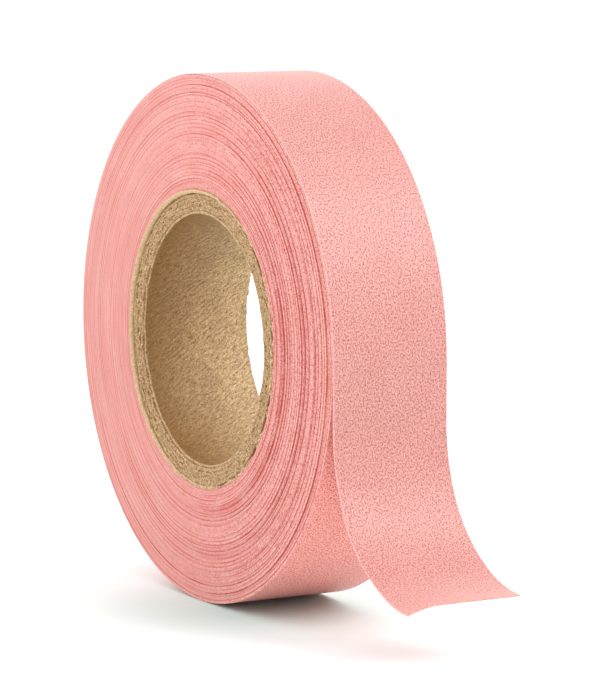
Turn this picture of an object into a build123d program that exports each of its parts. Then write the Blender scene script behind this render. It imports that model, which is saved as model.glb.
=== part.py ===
from build123d import *
import os
from math import cos, pi, radians, sin, tau

# A roll of paper tape wound on a spiral-wound cardboard core, standing on its rim.
# Frame: millimetres, origin at the middle of the core's bore, +Y along the roll's axis,
# +Z up. The loose end leaves the roll at its +X side, hangs down and curls outwards.
# Angles round the roll are in degrees from +X towards +Z.

# Driving dimensions, in millimetres and degrees
bore_radius = 12.8  # a one-inch core, with a little clearance
roll_radius = 27.0  # over the outermost lap
tape_width = 12.7  # half an inch
backing_thickness = 0.10
adhesive_thickness = 0.03

liner_thickness = 0.30
body_ply_thickness = 0.45
body_ply_count = 4
outer_ply_thickness = 0.35
outer_ply_stands_out = 0.42  # past the tape's edges, on each side
liner_stands_back = 0.24  # short of the tape's edges, on each side
body_ply_steps_back = 0.03  # from one ply of board to the next one in; the outermost is flush

lap_clearance = 0.04  # between the free lap and the laps below it
strip_gap = 0.03  # between one length of the free strip and the next
free_lap_start = 90.0  # the free lap runs from the top of the roll ...
free_lap_parts = 9  # ... to the +X side, in this many equal lengths
tail_drop = 5.9  # straight down from where the tape leaves the roll
curl_radii = [16.2] * 3 + [12.8] * 3  # of the curl's lengths, from the roll outwards
curl_turn = 15.0  # of each of them

# Sizes that follow
tape_thickness = backing_thickness + adhesive_thickness
core_radius = bore_radius + liner_thickness + body_ply_count * body_ply_thickness + outer_ply_thickness
wound_radius = roll_radius - tape_thickness - lap_clearance  # under the free lap
lap_turn = free_lap_start / free_lap_parts


def along_roll(profile, length):
    """A solid of the profile, drawn in X and Z, as long as that and centred on the roll's middle."""
    return extrude(profile, amount=length / 2, both=True)


def tube(inner, outer, length):
    return along_roll(Plane.XZ * (Circle(outer) - Circle(inner)), length)


def on_circle(centre, radius, angle):
    turn = radians(angle)
    return (centre[0] + radius * cos(turn), centre[1] + radius * sin(turn))


def round_to(centre, radius, start, end):
    """The arc about a centre from one angle to the other."""
    middle = (start + end) / 2
    return ThreePointArc(*[on_circle(centre, radius, a) for a in (start, middle, end)])


def sector(centre, near, far, start, end):
    """The flat piece between two radii and two angles."""
    inside = round_to(centre, near, start, end)
    outside = round_to(centre, far, start, end)
    ends = [Line(inside @ 0, outside @ 0), Line(inside @ 1, outside @ 1)]
    return make_face(Curve() + [inside, outside] + ends)


# The core: plies of kraft board wound one over the other and glued. The board is cut about
# flush with the tape's edges, the liner a little short of them, and the outer ply stands out.
def core_plies():
    thicknesses = [liner_thickness] + [body_ply_thickness] * body_ply_count + [outer_ply_thickness]
    names = ["core_inner_liner"]
    names += [f"core_body_ply_{n + 1}" for n in range(body_ply_count)]
    names += ["core_outer_ply"]
    stands_out = [-liner_stands_back]
    stands_out += [-n * body_ply_steps_back for n in reversed(range(body_ply_count))]
    stands_out += [outer_ply_stands_out]
    plies, radius = {}, bore_radius
    for name, thickness, past_tape in zip(names, thicknesses, stands_out):
        plies[name] = tube(radius, radius + thickness, tape_width + 2 * past_tape)
        radius += thickness
    return plies


# The winding: every lap but the free one, stuck together. Its last lap starts at the step
# where the free lap begins, and spirals in by one tape's thickness over three quarters of
# a turn, in quarter circles whose centres move by a third of that thickness.
def winding():
    shift = (roll_radius - wound_radius) / 3
    centre, radius, angle = (0, 0), roll_radius, free_lap_start
    outline = []
    for move in [(-shift, 0), (0, -shift), (0, 0)]:
        outline.append(round_to(centre, radius, angle, angle + 90))
        centre = (centre[0] + move[0], centre[1] + move[1])
        radius -= shift
        angle += 90
    under = round_to((0, 0), wound_radius, 0, free_lap_start)
    outline += [Line(outline[-1] @ 1, under @ 0), under, Line(under @ 1, outline[0] @ 0)]
    return along_roll(Plane.XZ * (make_face(Curve() + outline) - Circle(core_radius)), tape_width)


# The free lap: the outermost lap from the top of the roll to the line where the tape
# leaves it, in short lengths that hinge on each other as the tape is peeled back.
def free_lap_profiles(inner, outer):
    gap = strip_gap / roll_radius * 180 / pi
    profiles = []
    for n in range(free_lap_parts):
        start = free_lap_start - n * lap_turn
        profiles.append(sector((0, 0), inner, outer, start - gap, start - lap_turn))
    straight = Pos((inner + outer) / 2, -tail_drop / 2) * Rectangle(outer - inner, tail_drop)
    profiles[-1] = profiles[-1] + straight
    return profiles


# The tail: the curled end, in lengths that hinge on each other. depth_in and depth_out are
# how far the layer's two faces lie under the tape's outer face.
def tail_profiles(depth_out, depth_in):
    place = Pos(roll_radius, -tail_drop)
    profiles = []
    for radius in curl_radii:
        gap = strip_gap / radius * 180 / pi
        piece = sector((radius, 0), radius + depth_out, radius + depth_in, 180 + gap, 180 + curl_turn)
        profiles.append(place * piece)
        end = on_circle((radius, 0), radius, 180 + curl_turn)
        place = place * Pos(*end) * Rot(0, 0, curl_turn)
    return profiles


def tape_layer(layer, depth_out, depth_in):
    """The free lap's and the tail's lengths of one layer of the tape."""
    laps = free_lap_profiles(roll_radius - depth_in, roll_radius - depth_out)
    tails = tail_profiles(depth_out, depth_in)
    named = {f"free_lap_{layer}_{n + 1}": piece for n, piece in enumerate(laps)}
    named |= {f"tail_{layer}_{n + 1}": piece for n, piece in enumerate(tails)}
    return {name: along_roll(Plane.XZ * piece, tape_width) for name, piece in named.items()}


pieces = core_plies()
pieces["tape_winding"] = winding()
pieces |= tape_layer("backing", 0, backing_thickness)
pieces |= tape_layer("adhesive", backing_thickness, tape_thickness)

os.makedirs("parts", exist_ok=True)
for name, piece in pieces.items():
    piece.label = name
    export_step(piece, f"parts/{name}.step")

laps = (wound_radius - core_radius) / tape_thickness + 1
length = laps * tau * (wound_radius + core_radius) / 2
print(f"{laps:.0f} laps of tape, {length / 1000:.1f} m")
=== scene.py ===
import math
import bpy
import numpy as np
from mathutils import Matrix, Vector


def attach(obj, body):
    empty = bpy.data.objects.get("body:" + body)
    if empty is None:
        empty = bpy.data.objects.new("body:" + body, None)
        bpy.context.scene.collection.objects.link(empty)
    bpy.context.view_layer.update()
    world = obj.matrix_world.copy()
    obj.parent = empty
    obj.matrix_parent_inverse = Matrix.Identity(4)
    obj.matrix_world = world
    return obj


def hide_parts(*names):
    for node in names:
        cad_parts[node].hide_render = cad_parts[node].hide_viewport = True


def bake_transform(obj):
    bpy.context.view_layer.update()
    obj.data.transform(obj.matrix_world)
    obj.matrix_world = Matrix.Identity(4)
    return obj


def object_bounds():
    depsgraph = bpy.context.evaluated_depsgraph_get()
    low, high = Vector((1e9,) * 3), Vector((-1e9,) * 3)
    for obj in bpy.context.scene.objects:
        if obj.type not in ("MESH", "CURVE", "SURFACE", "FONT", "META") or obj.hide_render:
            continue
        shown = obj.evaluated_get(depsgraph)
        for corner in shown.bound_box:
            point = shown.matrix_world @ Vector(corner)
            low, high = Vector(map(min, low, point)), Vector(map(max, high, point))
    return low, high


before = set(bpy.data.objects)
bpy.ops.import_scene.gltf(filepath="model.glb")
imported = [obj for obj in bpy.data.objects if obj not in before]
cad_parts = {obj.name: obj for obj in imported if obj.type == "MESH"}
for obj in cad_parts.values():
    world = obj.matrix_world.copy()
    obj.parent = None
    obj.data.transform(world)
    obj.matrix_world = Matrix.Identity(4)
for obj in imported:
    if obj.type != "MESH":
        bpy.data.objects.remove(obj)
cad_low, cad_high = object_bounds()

MM = 0.001

# The camera. It stands in front of the roll and well round to the side where the tape comes
# off, a little above the middle, with a long lens, so that the cut side and the outermost
# lap both show.
camera_turn = math.radians(60.48)
camera_rise = math.radians(7.03)
camera_distance = 365.85 * MM
camera_right, camera_up = 4.21 * MM, -1.43 * MM
camera_lens, camera_sensor = 183.7, 36  # in millimetres

towards_camera = Vector((
    math.sin(camera_turn) * math.cos(camera_rise),
    -math.cos(camera_turn) * math.cos(camera_rise),
    math.sin(camera_rise),
))
across_view = Vector((math.cos(camera_turn), math.sin(camera_turn), 0))
up_view = towards_camera.cross(across_view)
camera_data = bpy.data.cameras.new("camera")
camera_data.lens = camera_lens
camera_data.sensor_width = camera_sensor
camera_data.clip_start = 0.01
camera_data.clip_end = 50
camera = bpy.data.objects.new("camera", camera_data)
camera.rotation_mode = "QUATERNION"
camera.location = towards_camera * camera_distance + across_view * camera_right + up_view * camera_up
camera.rotation_quaternion = (-towards_camera).to_track_quat("-Z", "Y")
bpy.context.scene.collection.objects.link(camera)
bpy.context.scene.camera = camera


# The floor and the light. The roll stands on a plain white sweep in a white room, with one
# large soft light behind it to the right and a weaker one in front of it to the left.
def new_finish(name, roughness, specular):
    """A new material with a principled shader of that roughness and gloss."""
    finish = bpy.data.materials.new(name)
    finish.use_nodes = True
    shader = finish.node_tree.nodes["Principled BSDF"]
    shader.inputs["Roughness"].default_value = roughness
    shader.inputs["Specular IOR Level"].default_value = specular
    return finish, shader


def node(finish, kind, settings=None, **inputs):
    """A new node, with its settings, and each input either a value or another node's output."""
    made = finish.node_tree.nodes.new("ShaderNode" + kind)
    for key, value in (settings or {}).items():
        setattr(made, key, value)
    for key, value in inputs.items():
        socket = made.inputs[int(key[1:]) if key[0] == "_" else key.replace("_", " ")]
        if isinstance(value, bpy.types.NodeSocket):
            finish.node_tree.links.new(value, socket)
        else:
            socket.default_value = value
    return made


def span(finish, value, low, high, to_low=0.0, to_high=1.0):
    """value, stretched so that low to high becomes to_low to to_high, and held there."""
    made = node(finish, "MapRange", {"clamp": True}, Value=value)
    for key, number in zip(("From Min", "From Max", "To Min", "To Max"), (low, high, to_low, to_high)):
        made.inputs[key].default_value = number
    return made.outputs[0]


def mixed(finish, share, first, second):
    """The first colour where share is 0, the second where it is 1."""
    return node(finish, "MixRGB", Fac=share, Color1=first, Color2=second).outputs[0]


floor_reach = 12.0
floor_squares = 24
floor_lines = floor_squares + 1
floor_steps = np.linspace(-floor_reach, floor_reach, floor_lines)
floor_points = [(x, y, cad_low.z) for x in floor_steps for y in floor_steps]
floor_faces = [
    (i * floor_lines + j, (i + 1) * floor_lines + j, (i + 1) * floor_lines + j + 1, i * floor_lines + j + 1)
    for i in range(floor_squares) for j in range(floor_squares)
]
floor_mesh = bpy.data.meshes.new("floor")
floor_mesh.from_pydata(floor_points, [], floor_faces)
floor = bpy.data.objects.new("floor", floor_mesh)
bpy.context.scene.collection.objects.link(floor)
floor_finish, floor_shader = new_finish("white_sweep", roughness=0.9, specular=0.1)
under_roll = (7 * MM, -3 * MM, cad_low.z)  # painted shade: darker and cooler here, against the paper's pink
painted_shade_reach, plain_reach = 5 * MM, 19 * MM  # from under_roll
# The first of these floor colours is painted shade, darker and cooler where the roll's shadow falls.
painted_shade_white = (0.60, 0.74, 0.71, 1)
plain_white = (0.875, 0.955, 0.96, 1)
floor_place = node(floor_finish, "TexCoord").outputs["Object"]
floor_from_roll = node(floor_finish, "VectorMath", {"operation": "DISTANCE"},
                       _0=floor_place, _1=under_roll).outputs["Value"]
floor_tone = mixed(floor_finish, span(floor_finish, floor_from_roll, painted_shade_reach, plain_reach),
                   painted_shade_white, plain_white)
floor_finish.node_tree.links.new(floor_tone, floor_shader.inputs["Base Color"])
floor_mesh.materials.append(floor_finish)

room = bpy.data.worlds.new("white_room")
room.use_nodes = True
room_light = room.node_tree.nodes["Background"]
room_light.inputs["Color"].default_value = (1.0, 0.995, 0.985, 1)
room_bright_side = (-0.62, 0.70, 0.35)  # the room is a little brighter that way
room_contrast, room_brightness = 0.24, 1.17
room_side = node(room, "VectorMath", {"operation": "DOT_PRODUCT"},
                 _0=node(room, "TexCoord").outputs["Generated"], _1=room_bright_side)
room_strength = node(room, "Math", {"operation": "MULTIPLY_ADD"},
                     _0=room_side.outputs["Value"], _1=room_contrast, _2=room_brightness)
room.node_tree.links.new(room_strength.outputs[0], room_light.inputs["Strength"])
bpy.context.scene.world = room
bpy.context.scene.view_settings.view_transform = "Standard"


light_distance = 0.6


def soft_light(name, direction, size, strength):
    """A square soft light in that direction from the roll. strength is its light on a surface
    that faces it, where the room's own is about 1."""
    data = bpy.data.lights.new(name, "AREA")
    data.size = size
    data.energy = strength * math.pi ** 2 * light_distance ** 2
    light = bpy.data.objects.new(name, data)
    away = Vector(direction).normalized()
    light.location = away * light_distance
    light.rotation_mode = "QUATERNION"
    light.rotation_quaternion = (-away).to_track_quat("-Z", "Y")
    bpy.context.scene.collection.objects.link(light)


soft_light("soft_light_behind", (0.535, 0.496, 0.684), size=0.34, strength=0.55)
soft_light("soft_light_front", (-0.55, -0.75, 0.35), size=0.5, strength=0.46)


# The core: plies of kraft board wound in spirals and glued. A smooth liner inside, four
# plies of rough board cut flush with the tape, and a smooth outer ply that stands out past
# it. A knife left the board's end fibrous, with a groove beside the outer ply.
tape_width = 12.7
core_plies = [
    # name, inner and outer radius, half its length
    ("core_inner_liner", 12.80, 13.10, 6.11),
    ("core_body_ply_1", 13.10, 13.55, 6.26),
    ("core_body_ply_2", 13.55, 14.00, 6.29),
    ("core_body_ply_3", 14.00, 14.45, 6.32),
    ("core_body_ply_4", 14.45, 14.90, 6.35),
    ("core_outer_ply", 14.90, 15.25, 6.77),
]
longest_half = core_plies[-1][3]
core_steps = 720
wall_inset, outer_wall_inset = 0.17, 0.3  # from a ply's end to its walls; the outer ply has both
board_roughness, paper_roughness = 0.055, 0.012
waviness = 0.03  # of a ply's end, round the roll
corner_rounding = 0.05
liner_gap_depth = 0.16  # where the liner has come away from the board
groove_depth = 0.22  # beside the outer ply
worn_depth = 0.42  # takes the outer ply down to the board
outer_slope = 0.26  # of the outer ply's end, down towards the groove
liner_torn = 0.7  # how far the liner's cut end looks torn, where 1 is as rough as the board
chance = np.random.default_rng(27)


def rough(rows, columns, spread_rows, spread_columns):
    """Random heights of about 1, smoothed over that many neighbours; the columns close on
    themselves as a ring does."""
    heights = chance.normal(size=(rows, columns))
    for _ in range(spread_rows):
        padded = np.pad(heights, ((1, 1), (0, 0)), mode="edge")
        heights = (padded[:-2] + 2 * padded[1:-1] + padded[2:]) / 4
    for _ in range(spread_columns):
        heights = (np.roll(heights, 1, 1) + 2 * heights + np.roll(heights, -1, 1)) / 4
    return heights / heights.std()


def smooth_step(value):
    """0 up to 0, 1 from 1 on, and an even rise between them."""
    value = np.clip(value, 0, 1)
    return value * value * (3 - 2 * value)


def make_piece(name, points, faces, maps, sharp_degrees=40):
    """A smooth-shaded mesh object from points in millimetres. maps holds, for each named UV
    map, one pair for each corner of each face."""
    mesh = bpy.data.meshes.new(name)
    mesh.from_pydata((np.asarray(points) * MM).tolist(), [], [list(map(int, f)) for f in faces])
    for map_name, corners in maps.items():
        layer = mesh.uv_layers.new(name=map_name)
        layer.data.foreach_set("uv", np.asarray(corners, np.float32).ravel())
    mesh.shade_smooth()
    mesh.set_sharp_from_angle(angle=math.radians(sharp_degrees))
    piece = bpy.data.objects.new(name, mesh)
    bpy.context.scene.collection.objects.link(piece)
    return piece


def make_ring(name, radii, lengths, map_name):
    """A closed ring from a loop of profile points. radii and lengths have one row for each
    point of the loop and one column for each step round the roll."""
    rows, columns = radii.shape
    angle = np.arange(columns + 1) * 2 * math.pi / columns
    x, z = radii * np.cos(angle[:-1]), radii * np.sin(angle[:-1])
    points = np.stack([x, lengths, z], -1).reshape(-1, 3)
    run = np.concatenate([[0], np.cumsum(np.hypot(
        np.diff(radii[:, 0], append=radii[0, 0]), np.diff(lengths[:, 0], append=lengths[0, 0])))])
    row, column = [a.ravel() for a in np.meshgrid(np.arange(rows), np.arange(columns), indexing="ij")]
    corners = [(row, column), (row, column + 1), (row + 1, column + 1), (row + 1, column)]
    faces = np.stack([(r % rows) * columns + c % columns for r, c in corners], -1)
    middle = float(radii.mean())
    uv = np.stack([np.stack([angle[c] * middle, run[r]], -1) for r, c in corners], 1)
    return make_piece(name, points, faces, {map_name: uv})


def sums(finish, operation, first, second=0.0):
    """One step of arithmetic on a node's output."""
    return node(finish, "Math", {"operation": operation}, _0=first, _1=second).outputs[0]


def ring_place(finish, turn_scale, radius_scale):
    """Coordinates that vary slowly round the roll's axis and fast with the radius, in mm."""
    place = node(finish, "TexCoord").outputs["Object"]
    apart = node(finish, "SeparateXYZ", Vector=place)
    flat = node(finish, "CombineXYZ", X=apart.outputs["X"], Z=apart.outputs["Z"]).outputs[0]
    radius = node(finish, "VectorMath", {"operation": "LENGTH"}, _0=flat).outputs["Value"]
    heading = node(finish, "VectorMath", {"operation": "NORMALIZE"}, _0=flat).outputs["Vector"]
    slow = node(finish, "VectorMath", {"operation": "SCALE"}, _0=heading, Scale=turn_scale).outputs["Vector"]
    fast = node(finish, "CombineXYZ", Y=sums(finish, "MULTIPLY", radius, radius_scale / MM)).outputs[0]
    return node(finish, "VectorMath", {"operation": "ADD"}, _0=slow, _1=fast).outputs["Vector"]


def noise(finish, place, scale, detail=2.0, roughness=0.5, distortion=0.0):
    """A noise pattern; scale is how many of its bumps go into a unit of place."""
    made = node(finish, "TexNoise", Vector=place, Scale=scale, Detail=detail,
                Roughness=roughness, Distortion=distortion)
    return made.outputs["Fac"]


def colour(red, green, blue):
    """A colour given from 0 to 255, as the shader's linear values."""
    parts = [c / 255 for c in (red, green, blue)]
    return [c / 12.92 if c < 0.04045 else ((c + 0.055) / 1.055) ** 2.4 for c in parts] + [1.0]


def board_finish():
    """Rough cut core board: pale fibres, brown pits."""
    finish, shader = new_finish("kraft_board_cut", roughness=0.85, specular=0.25)
    place = node(finish, "TexCoord").outputs["Object"]
    coarse = noise(finish, place, 4.4 / MM, 3.0, 0.6)
    fine = noise(finish, place, 8.5 / MM, 2.0, 0.6)
    layers = noise(finish, ring_place(finish, 14.0, 3.5), 1.0, 2.0, 0.6)
    pits = span(finish, sums(finish, "ADD", sums(finish, "MULTIPLY", fine, 0.65),
                             sums(finish, "MULTIPLY", coarse, 0.35)), 0.36, 0.62)
    body = mixed(finish, pits, colour(98, 60, 20), colour(220, 186, 144))
    tone = mixed(finish, span(finish, layers, 0.35, 0.65, 0.0, 0.35), body, colour(166, 124, 82))
    finish.node_tree.links.new(tone, shader.inputs["Base Color"])
    bump = node(finish, "Bump", Strength=0.7, Distance=0.06 * MM, Height=pits)
    finish.node_tree.links.new(bump.outputs[0], shader.inputs["Normal"])
    return finish


def liner_finish(name, pale, dark, painted_far_light=None):
    """Smooth kraft paper: fine fibres that lean along the spiral it is wound in. Where the
    ply is worn or cut it is as rough and pale as the board. painted_far_light is its colour towards
    the far end, if that isn't the same."""
    finish, shader = new_finish(name, roughness=0.6, specular=0.35)
    place = node(finish, "UVMap", {"uv_map": "paper"}).outputs[0]
    lean = node(finish, "Mapping", {"vector_type": "TEXTURE"}, Vector=place)
    lean.inputs["Rotation"].default_value = (0, 0, math.radians(56))
    lean.inputs["Scale"].default_value = (1.0, 0.27, 1.0)
    fibres = noise(finish, lean.outputs[0], 1.2, 3.0, 0.7)
    specks = noise(finish, place, 5.0, 2.0, 0.6)
    clouds = noise(finish, place, 0.35, 2.0, 0.5)
    grain = sums(finish, "ADD", sums(finish, "MULTIPLY", fibres, 0.55),
                 sums(finish, "MULTIPLY", specks, 0.45))
    # Painted light and shade: darker at the near end, paler towards the far opening.
    if painted_far_light:
        inside = node(finish, "TexCoord").outputs["Object"]
        length = node(finish, "SeparateXYZ", Vector=inside).outputs["Y"]
        pale = mixed(finish, span(finish, length, -5.5 * MM, 5.5 * MM), pale, painted_far_light)
    tone = mixed(finish, span(finish, grain, 0.34, 0.64), dark, pale)
    cloudy = mixed(finish, span(finish, clouds, 0.3, 0.7, 0.0, 0.22), tone, dark)
    worn = node(finish, "Attribute", {"attribute_name": "worn"}).outputs["Fac"]
    solid = node(finish, "TexCoord").outputs["Object"]
    pits = span(finish, noise(finish, solid, 5.0 / MM, 3.0, 0.6), 0.36, 0.60)
    torn = mixed(finish, pits, colour(130, 92, 54), colour(212, 178, 138))
    finish.node_tree.links.new(mixed(finish, worn, cloudy, torn), shader.inputs["Base Color"])
    height = mixed(finish, worn, grain, pits)
    bump = node(finish, "Bump", Strength=0.6, Distance=0.03 * MM, Height=height)
    finish.node_tree.links.new(bump.outputs[0], shader.inputs["Normal"])
    return finish


board = board_finish()
# Painted shade at the liner's near end, painted light towards its far end.
liner = liner_finish("kraft_liner_paper", colour(163, 120, 68), colour(94, 65, 26),
                     colour(239, 205, 157))
outer_kraft = liner_finish("kraft_outer_paper", colour(222, 188, 148), colour(168, 134, 96))

core_angle = np.arange(core_steps) * 2 * math.pi / core_steps
seam_side = 0.5 + 0.5 * np.cos(core_angle - math.radians(155))  # 1 where the groove is deepest
worn_side = smooth_step(1.25 - 1.5 * seam_side)  # 1 where the outer ply is worn down
open_side = 0.5 + 0.5 * np.cos(core_angle - math.radians(40))  # 1 where the liner has come away most


def core_ply(name, inner, outer, half_length):
    """One ply: its two ends are cut faces of many small points, its two walls are smooth."""
    is_board = "body" in name
    across = 6 if is_board else 5
    share = np.linspace(0, 1, across)[:, None]
    end_radii = inner + (outer - inner) * share + np.zeros((1, core_steps))
    rounding = corner_rounding * (np.abs(share - 0.5) * 2) ** 4
    ends = []
    for side in (-1, 1):
        height = rough(across, core_steps, 1, 1) * (board_roughness if is_board else paper_roughness)
        height = height + waviness * rough(1, core_steps, 0, 24)
        if name == "core_body_ply_1":
            height = height - liner_gap_depth * open_side ** 1.5 * np.clip((0.45 - share) / 0.3, 0, 1)
        if name == "core_body_ply_4":
            height = height - groove_depth * seam_side ** 1.5 * np.clip((share - 0.62) / 0.3, 0, 1)
        if name == "core_outer_ply":
            slope = outer_slope * (1 - share) * seam_side
            height = height * (0.6 + 3 * (1 - seam_side)) - worn_depth * worn_side - slope
        ends.append(side * np.minimum(half_length - rounding + height, longest_half))
    wall_rows = np.concatenate([[-1], np.linspace(-0.97, 0.97, 7), [1]])[:, None]
    wall_half = half_length - wall_inset - (outer_wall_inset if name == "core_outer_ply" else 0)
    walls = wall_rows * wall_half + np.zeros((1, core_steps))
    inner_wall = np.full(walls.shape, inner)
    outer_wall = np.full(walls.shape, outer)
    radii = np.concatenate([end_radii, outer_wall, end_radii[::-1], inner_wall])
    lengths = np.concatenate([ends[0], walls, ends[1][::-1], walls[::-1]])
    piece = make_ring(name.replace("core", "kraft"), radii, lengths, "paper")
    if is_board:
        piece.data.materials.append(board)
    else:
        piece.data.materials.append(liner if name == "core_inner_liner" else outer_kraft)
        on_end = np.zeros(radii.shape)
        worn_share = liner_torn if name == "core_inner_liner" else worn_side
        on_end[:across] = worn_share
        on_end[across + len(walls):2 * across + len(walls)] = worn_share
        piece.data.attributes.new("worn", "FLOAT", "POINT").data.foreach_set(
            "value", on_end.ravel().astype(np.float32))
    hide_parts(name)
    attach(piece, "roll")


for ply in core_plies:
    core_ply(*ply)


# The wound tape: one strip wound ninety times round the core. Each lap's edge lies a little
# in or out from the next one's, more so on the side where the tape comes off, so both sides
# of the roll are fine rings.
roll_radius = 27.0
lap_radius = 26.83  # under the free lap
core_radius = 15.25
free_lap_top = math.radians(95)  # where the free lap comes off the wound tape
laps = 90
lap_steps = 256
arc_share = 0.25  # of each lap is a plain arc, and the rest of it spirals in
half_width = tape_width / 2
group_offset, single_offset = 0.056, 0.019  # of a few laps together, and of each lap by itself
loose_side = math.radians(-14)  # where the laps' edges differ most
change_over = 0.16  # of a lap, in which one lap's offset gives way to the next one's
settling_turn = 16.0  # in radians: the outermost laps start flush, and differ in full after this
full_recess = 0.11  # a lap this far in from its neighbour has the darkest painted shade
# How far along the strip, less than 0 on the roll, a change of colour starts, is full, is
# still full, and ends.
# Painted highlight: the paper is painted paler at the top of the roll and at its end.
painted_highlight_top_runs = (-75.0, -60.0, -42.0, -30.0)
# Painted light: between these runs the paper is a brighter, deeper pink, filling the shade under the tail.
painted_fill_runs = (-174.0, -166.0, -122.0, -100.0)
painted_highlight_end_start, painted_highlight_end_full = 21.0, 28.0


def between(finish, value, limits, most=1.0):
    """most between the middle two of the four limits, falling to 0 at the outer two."""
    starts, full, still_full, ends = limits
    return sums(finish, "MULTIPLY", span(finish, value, starts, full),
                span(finish, value, ends, still_full, 0.0, most))


def pink_paper(name, base, speck, roughness, painted_fill=None):
    """Pink paper with a fine crepe grain: dark specks, small bumps and paler edges. It has
    a painted highlight, paler, at the top of the roll and at its end. fresh is its two
    colours, base and specks, painted brighter as painted light where the tail shades it."""
    finish, shader = new_finish(name, roughness, specular=0.65)
    place = node(finish, "UVMap", {"uv_map": "along_tape"}).outputs[0]
    stretched = node(finish, "Mapping", {"vector_type": "POINT"}, Vector=place)
    stretched.inputs["Scale"].default_value = (0.8, 1.0, 1.0)
    grain = noise(finish, stretched.outputs[0], 6.8, 1.0, 0.5, 0.3)
    clouds = noise(finish, place, 0.25, 2.0, 0.5)
    specks = span(finish, grain, 0.30, 0.58)
    tone = mixed(finish, specks, speck, base)
    run = node(finish, "SeparateXYZ", Vector=place).outputs["X"]
    # Painted highlight, paler, at the top of the roll and at the tail's end.
    painted_highlight_top = between(finish, run, painted_highlight_top_runs, 0.25)
    painted_highlight_end = span(finish, run, painted_highlight_end_start, painted_highlight_end_full, 0.0, 0.35)
    painted_highlight = sums(finish, "ADD", painted_highlight_top, painted_highlight_end)
    tone = mixed(finish, painted_highlight, tone, colour(222, 172, 166))
    # Painted light filling the shade under the tail: a brighter, deeper pink.
    if painted_fill:
        shade = between(finish, run, painted_fill_runs)
        tone = mixed(finish, shade, tone, mixed(finish, specks, painted_fill[1], painted_fill[0]))
    cloudy = mixed(finish, span(finish, clouds, 0.3, 0.7, 0.0, 0.10), tone, speck)
    side = sums(finish, "ABSOLUTE", node(finish, "SeparateXYZ", Vector=place).outputs["Y"])
    lip = span(finish, side, half_width - 0.12, half_width - 0.04, 0.0, 0.3)
    edged = mixed(finish, lip, cloudy, colour(232, 182, 174))
    finish.node_tree.links.new(edged, shader.inputs["Base Color"])
    shader.inputs["Sheen Weight"].default_value = 0.06
    shader.inputs["Sheen Roughness"].default_value = 0.5
    bump = node(finish, "Bump", Strength=0.55, Distance=0.03 * MM, Height=grain)
    finish.node_tree.links.new(bump.outputs[0], shader.inputs["Normal"])
    finish.node_tree.links.new(span(finish, grain, 0.3, 0.7, roughness + 0.12, roughness - 0.08),
                               shader.inputs["Roughness"])
    return finish


def cut_edges():
    """The laps' cut edges seen side on: fine rings, some darker, with a little paper fibre."""
    finish, shader = new_finish("pink_cut_edges", roughness=0.75, specular=0.3)
    place = node(finish, "TexCoord").outputs["Object"]
    rings = noise(finish, ring_place(finish, 5.0, 3.2), 1.0, 3.0, 0.6)
    broad = noise(finish, ring_place(finish, 3.0, 0.55), 1.0, 2.0, 0.5)
    fibres = noise(finish, place, 6.2 / MM, 1.0, 0.6)
    patches = noise(finish, ring_place(finish, 7.0, 0.9), 1.0, 2.0, 0.5)
    # Painted shade: laps set in from their neighbours are painted darker and redder.
    recess = node(finish, "Attribute", {"attribute_name": "recess"}).outputs["Fac"]
    recess = sums(finish, "MULTIPLY", recess, span(finish, patches, 0.36, 0.60, 0.35, 1.15))
    right = node(finish, "SeparateXYZ", Vector=place).outputs["X"]
    sideways = span(finish, right, -14 * MM, 20 * MM)
    pale = mixed(finish, span(finish, broad, 0.35, 0.65),
                 mixed(finish, sideways, colour(207, 143, 136), colour(219, 158, 150)),
                 mixed(finish, sideways, colour(210, 152, 146), colour(222, 168, 161)))
    ringed = mixed(finish, span(finish, rings, 0.42, 0.70, 0.0, 0.24), pale, colour(208, 120, 110))
    deep = mixed(finish, recess, ringed, colour(197, 88, 80))
    fuzz = sums(finish, "MULTIPLY", span(finish, fibres, 0.54, 0.36),
                span(finish, sideways, 0.0, 0.9, 0.14, 0.85))
    tone = mixed(finish, fuzz, deep, colour(184, 80, 72))
    finish.node_tree.links.new(tone, shader.inputs["Base Color"])
    height = sums(finish, "ADD", fibres, rings)
    bump = node(finish, "Bump", Strength=0.5, Distance=0.03 * MM, Height=height)
    finish.node_tree.links.new(bump.outputs[0], shader.inputs["Normal"])
    return finish


def winding_radius(turned):
    """The outer radius of the strip, that far round from the line where it leaves the roll."""
    lap = np.floor(turned / (2 * math.pi))
    part = np.clip((turned / (2 * math.pi) - lap - arc_share) / (1 - arc_share), 0, 1)
    last_part = (free_lap_top / (2 * math.pi) - arc_share) / (1 - arc_share)
    pitch = (lap_radius - core_radius) / (laps - 1 + last_part)
    return np.where(lap < 1, roll_radius - (roll_radius - lap_radius) * part,
                    lap_radius - pitch * (lap - 1 + part))


def lap_offsets(turned):
    """How far each point of the strip lies in or out from its place, for one side."""
    lap = turned / (2 * math.pi) - 0.5  # one lap gives way to the next at -X, where all are near flush
    whole = np.floor(lap).astype(int) + 1
    blend_in = smooth_step((lap - np.floor(lap)) / change_over)
    count = laps + 4
    groups, start = np.zeros(count), 0
    while start < count:  # one to five laps lie in or out together
        width = int(chance.integers(1, 6))
        groups[start:start + width] = float(chance.normal()) * group_offset
        start += width
    offsets = groups + chance.normal(size=count) * single_offset
    here = offsets[whole] * blend_in + offsets[whole - 1] * (1 - blend_in)
    weight = 0.12 + 0.92 * (0.5 + 0.5 * np.cos(turned - loose_side))
    wander = 0.012 * np.sin(turned * 0.37 + 1.0) + 0.008 * np.sin(turned * 1.13)
    return here * weight + wander


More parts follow.
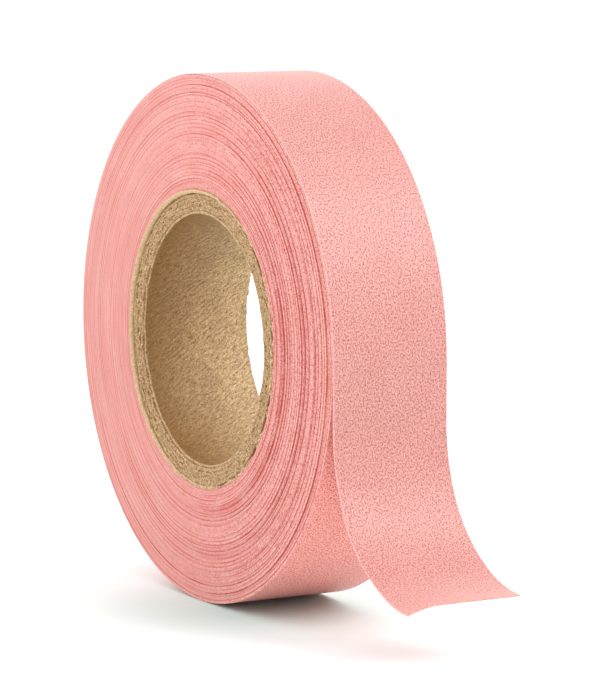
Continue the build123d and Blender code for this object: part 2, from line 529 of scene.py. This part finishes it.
def wound_tape():
    """The strip as one closed mesh: its two cut edges, its tread, and its inner start."""
    columns = laps * lap_steps + 1
    turned = free_lap_top + np.arange(columns) * 2 * math.pi / lap_steps
    outer = winding_radius(turned)
    inner = np.maximum(winding_radius(turned + 2 * math.pi), core_radius)
    x, z = np.cos(turned), np.sin(turned)
    settle = smooth_step((turned - free_lap_top) / settling_turn)
    last = smooth_step((turned[-1] - turned) / (2 * math.pi) - 1.0)  # the innermost lap is flush
    near = -half_width + lap_offsets(turned) * settle * last
    far = half_width + lap_offsets(turned) * settle * last
    points = np.stack([
        np.stack([outer * x, near, outer * z], -1), np.stack([inner * x, near, inner * z], -1),
        np.stack([outer * x, far, outer * z], -1), np.stack([inner * x, far, inner * z], -1),
    ], 1).reshape(-1, 3)
    near_out, near_in, far_out, far_in = [4 * np.arange(columns) + k for k in range(4)]
    last_start = (laps - 1) * lap_steps

    def band(first, second, start, end, shift=0):
        """A row of quads between two lines of points, the second that many points further on."""
        i = np.arange(start, end)
        return np.stack([first[i], first[i + 1], second[i + 1 + shift], second[i + shift]], -1)

    # The two cut edges, the steps from lap to lap on each side, the tread, and the face at the core.
    strips = [
        band(near_out, near_in, 0, columns - 1),
        band(far_in, far_out, 0, columns - 1),
        band(near_in, near_out, 0, last_start, lap_steps),
        band(far_in, far_out, 0, last_start, lap_steps)[:, ::-1],
        band(near_out, far_out, 0, lap_steps)[:, ::-1],
        band(near_in, far_in, last_start, columns - 1),
    ]
    cap = [near_out[0], near_in[0], near_out[lap_steps], far_out[lap_steps], far_in[0], far_out[0]]
    faces = [f for strip in strips for f in strip.tolist()] + [cap]
    along = np.repeat(-turned * roll_radius, 4)
    flat_map = np.stack([along, points[:, 1]], -1)
    corners = np.concatenate([flat_map[np.concatenate(strips)].reshape(-1, 2), flat_map[cap]])
    piece = make_piece("wound_tape", points, faces, {"along_tape": corners}, sharp_degrees=25)
    mesh = piece.data
    # The recess attribute carries painted shade: how far each lap's edge is set in from its neighbours.
    recess = np.zeros((columns, 4), np.float32)
    for out, inn, sign in ((0, 1, 1), (2, 3, -1)):
        place = sign * points[:, 1].reshape(columns, 4)[:, out]
        before = np.concatenate([place[:lap_steps], place[:-lap_steps]])
        after = np.concatenate([place[lap_steps:], place[-lap_steps:]])
        depth = place - np.minimum(before, after)
        recess[:, out] = recess[:, inn] = np.clip(depth / full_recess, 0, 0.85)
    mesh.attributes.new("recess", "FLOAT", "POINT").data.foreach_set("value", recess.ravel())
    mesh.materials.append(cut_edges())
    # The tread of the outermost lap takes the paper with painted light under the tail.
    mesh.materials.append(painted_fill_paper)
    flags = np.zeros(len(mesh.polygons), np.int32)
    tread_start = sum(len(s) for s in strips[:4])
    flags[tread_start:tread_start + lap_steps] = 1
    mesh.polygons.foreach_set("material_index", flags)
    return piece


paper_pink, paper_speck = colour(209, 147, 140), colour(156, 66, 58)
# Painted light: the brighter pink that fills the shade under the tail.
painted_fill_pink, painted_fill_speck = colour(255, 176, 166), colour(190, 68, 58)
tread_paper = pink_paper("pink_paper", paper_pink, paper_speck, 0.47)
painted_fill_paper = pink_paper("painted_fill_pink_paper", paper_pink, paper_speck, 0.47,
                             (painted_fill_pink, painted_fill_speck))
winding = wound_tape()
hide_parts("tape_winding")
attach(winding, "roll")


# The free lap and the tail: the last quarter lap and the loose end of the same strip, paper
# outside and a thin coat of adhesive inside. The end has kept a curl and a bent near corner
# from when it was cut off.
paper_thickness, coat_thickness = 0.10, 0.03
tail_drop = 5.9
curl_radii = (16.2, 12.8)
curl_turn = math.radians(45)  # for each of the two radii
curl_lengths = [r * curl_turn for r in curl_radii]
tail_length = tail_drop + sum(curl_lengths)
hinges_per_curl = 3  # for each of the two radii
lift_height = 0.32  # how far the end lies outside its curve
bent_width = 3.4  # of the end's near corner
corner_droop, tip_droop = 0.42, 0.30  # of the bent corner, and of its last few millimetres besides
out_of_square = 0.55  # the far corner is cut off that much shorter
row_spacing, columns = 0.33, 41


def along_tape(run):
    """The outer face at that run from where the tape leaves the roll, less than 0 on the roll:
    its x and z, and its outward direction as x and z."""
    on_roll = np.minimum(run, 0) / -roll_radius
    x, z = roll_radius * np.cos(on_roll), roll_radius * np.sin(on_roll)
    out_x, out_z = np.cos(on_roll), np.sin(on_roll)
    z = z - np.clip(run, 0, tail_drop)
    heading, start = 0.0, tail_drop
    for radius, length in zip(curl_radii, curl_lengths):
        turn = np.clip((run - start) / radius, 0, length / radius)
        x = x + radius * (math.cos(heading) - np.cos(heading + turn))
        z = z - radius * (np.sin(heading + turn) - math.sin(heading))
        heading, start = heading + length / radius, start + length
    curl = np.where(run > tail_drop, np.minimum((run - tail_drop) / curl_radii[0], curl_turn), 0.0)
    curl = curl + np.clip((run - tail_drop - curl_lengths[0]) / curl_radii[1], 0, curl_turn)
    out_x = np.where(run > 0, np.cos(curl), out_x)
    out_z = np.where(run > 0, np.sin(curl), out_z)
    return x, z, out_x, out_z


def strays(run, across):
    """How far the paper lies outside its curve: a slight twist, and the bent near corner."""
    lift = lift_height * smooth_step((run - 14) / 8) * (1 + 0.06 * (half_width - across) / 2)
    near_share = np.clip((bent_width - half_width - across) / bent_width, 0, 1)
    bend = corner_droop * smooth_step((run - 12) / 8) + tip_droop * smooth_step((run - 22) / 6.7)
    return lift - near_share ** 1.7 * bend


def tape_length(name, start, end, depth_out, depth_in):
    """A closed thin slab of the tape, from one run to another and between two depths."""
    rows = max(4, int(round((end - start) / row_spacing)) + 1)
    run, across = np.meshgrid(np.linspace(start, end, rows),
                              np.linspace(-half_width, half_width, columns), indexing="ij")
    if end == tail_length:
        run = start + (run - start) * (1 - out_of_square / (end - start) * (across / tape_width + 0.5))
    x, z, out_x, out_z = along_tape(run)
    stray = strays(run, across)
    sides = []
    for depth in (depth_out, depth_in):
        sides.append(np.stack([x + out_x * (stray - depth), across, z + out_z * (stray - depth)], -1))
    points = np.concatenate([s.reshape(-1, 3) for s in sides])
    flat = np.stack([run, across], -1).reshape(-1, 2)
    flat = np.concatenate([flat, flat])
    index = np.arange(rows * columns).reshape(rows, columns)
    under = index + rows * columns

    def quads(a, b, c, d):
        return np.stack([a.ravel(), b.ravel(), c.ravel(), d.ravel()], -1)

    faces = np.concatenate([
        quads(index[:-1, :-1], index[1:, :-1], index[1:, 1:], index[:-1, 1:]),
        quads(under[:-1, :-1], under[:-1, 1:], under[1:, 1:], under[1:, :-1]),
        quads(index[:-1, 0], under[:-1, 0], under[1:, 0], index[1:, 0]),
        quads(index[:-1, -1], index[1:, -1], under[1:, -1], under[:-1, -1]),
        quads(index[0, :-1], index[0, 1:], under[0, 1:], under[0, :-1]),
        quads(index[-1, :-1], under[-1, :-1], under[-1, 1:], index[-1, 1:]),
    ])
    return make_piece(name, points, faces, {"along_tape": flat[faces].reshape(-1, 2)})


lap_hinges = 9
lap_length = math.radians(90) * roll_radius / lap_hinges
joint_runs = [(n - lap_hinges) * lap_length for n in range(lap_hinges)]
lengths_after = [lap_length] * lap_hinges
curl_start = tail_drop
for curl_length in curl_lengths:
    joint_runs += [curl_start + n * curl_length / hinges_per_curl for n in range(hinges_per_curl)]
    lengths_after += [curl_length / hinges_per_curl] * hinges_per_curl
    curl_start += curl_length
body_names = ["roll"] + [f"free_lap_{n + 1}" for n in range(lap_hinges)]
body_names += [f"tail_{n + 1}" for n in range(len(joint_runs) - lap_hinges)]
coat_paper = pink_paper("adhesive_side", colour(220, 150, 141), colour(176, 82, 70), 0.42)
# The strip is cut half way between one hinge and the next, and half way down its straight drop.
cuts = [joint_runs[0] - lap_length / 2]
for n in range(1, len(joint_runs)):
    cuts.append(joint_runs[n] - (lengths_after[n - 1] / 2 if n != lap_hinges else tail_drop / 2))
cuts.append(tail_length)


for n in range(len(joint_runs)):
    cad_name = body_names[n + 1].rsplit("_", 1)
    for layer, depth_out, depth_in, finish, slot in (
        ("backing", 0, paper_thickness, tread_paper, "paper_backing"),
        ("adhesive", paper_thickness, paper_thickness + coat_thickness, coat_paper, "adhesive_coat"),
    ):
        piece = tape_length(f"tape_{layer}_{n + 1}", cuts[n], cuts[n + 1], depth_out, depth_in)
        piece.data.materials.append(finish)
        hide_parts(f"{cad_name[0]}_{layer}_{cad_name[1]}")
        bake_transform(piece)
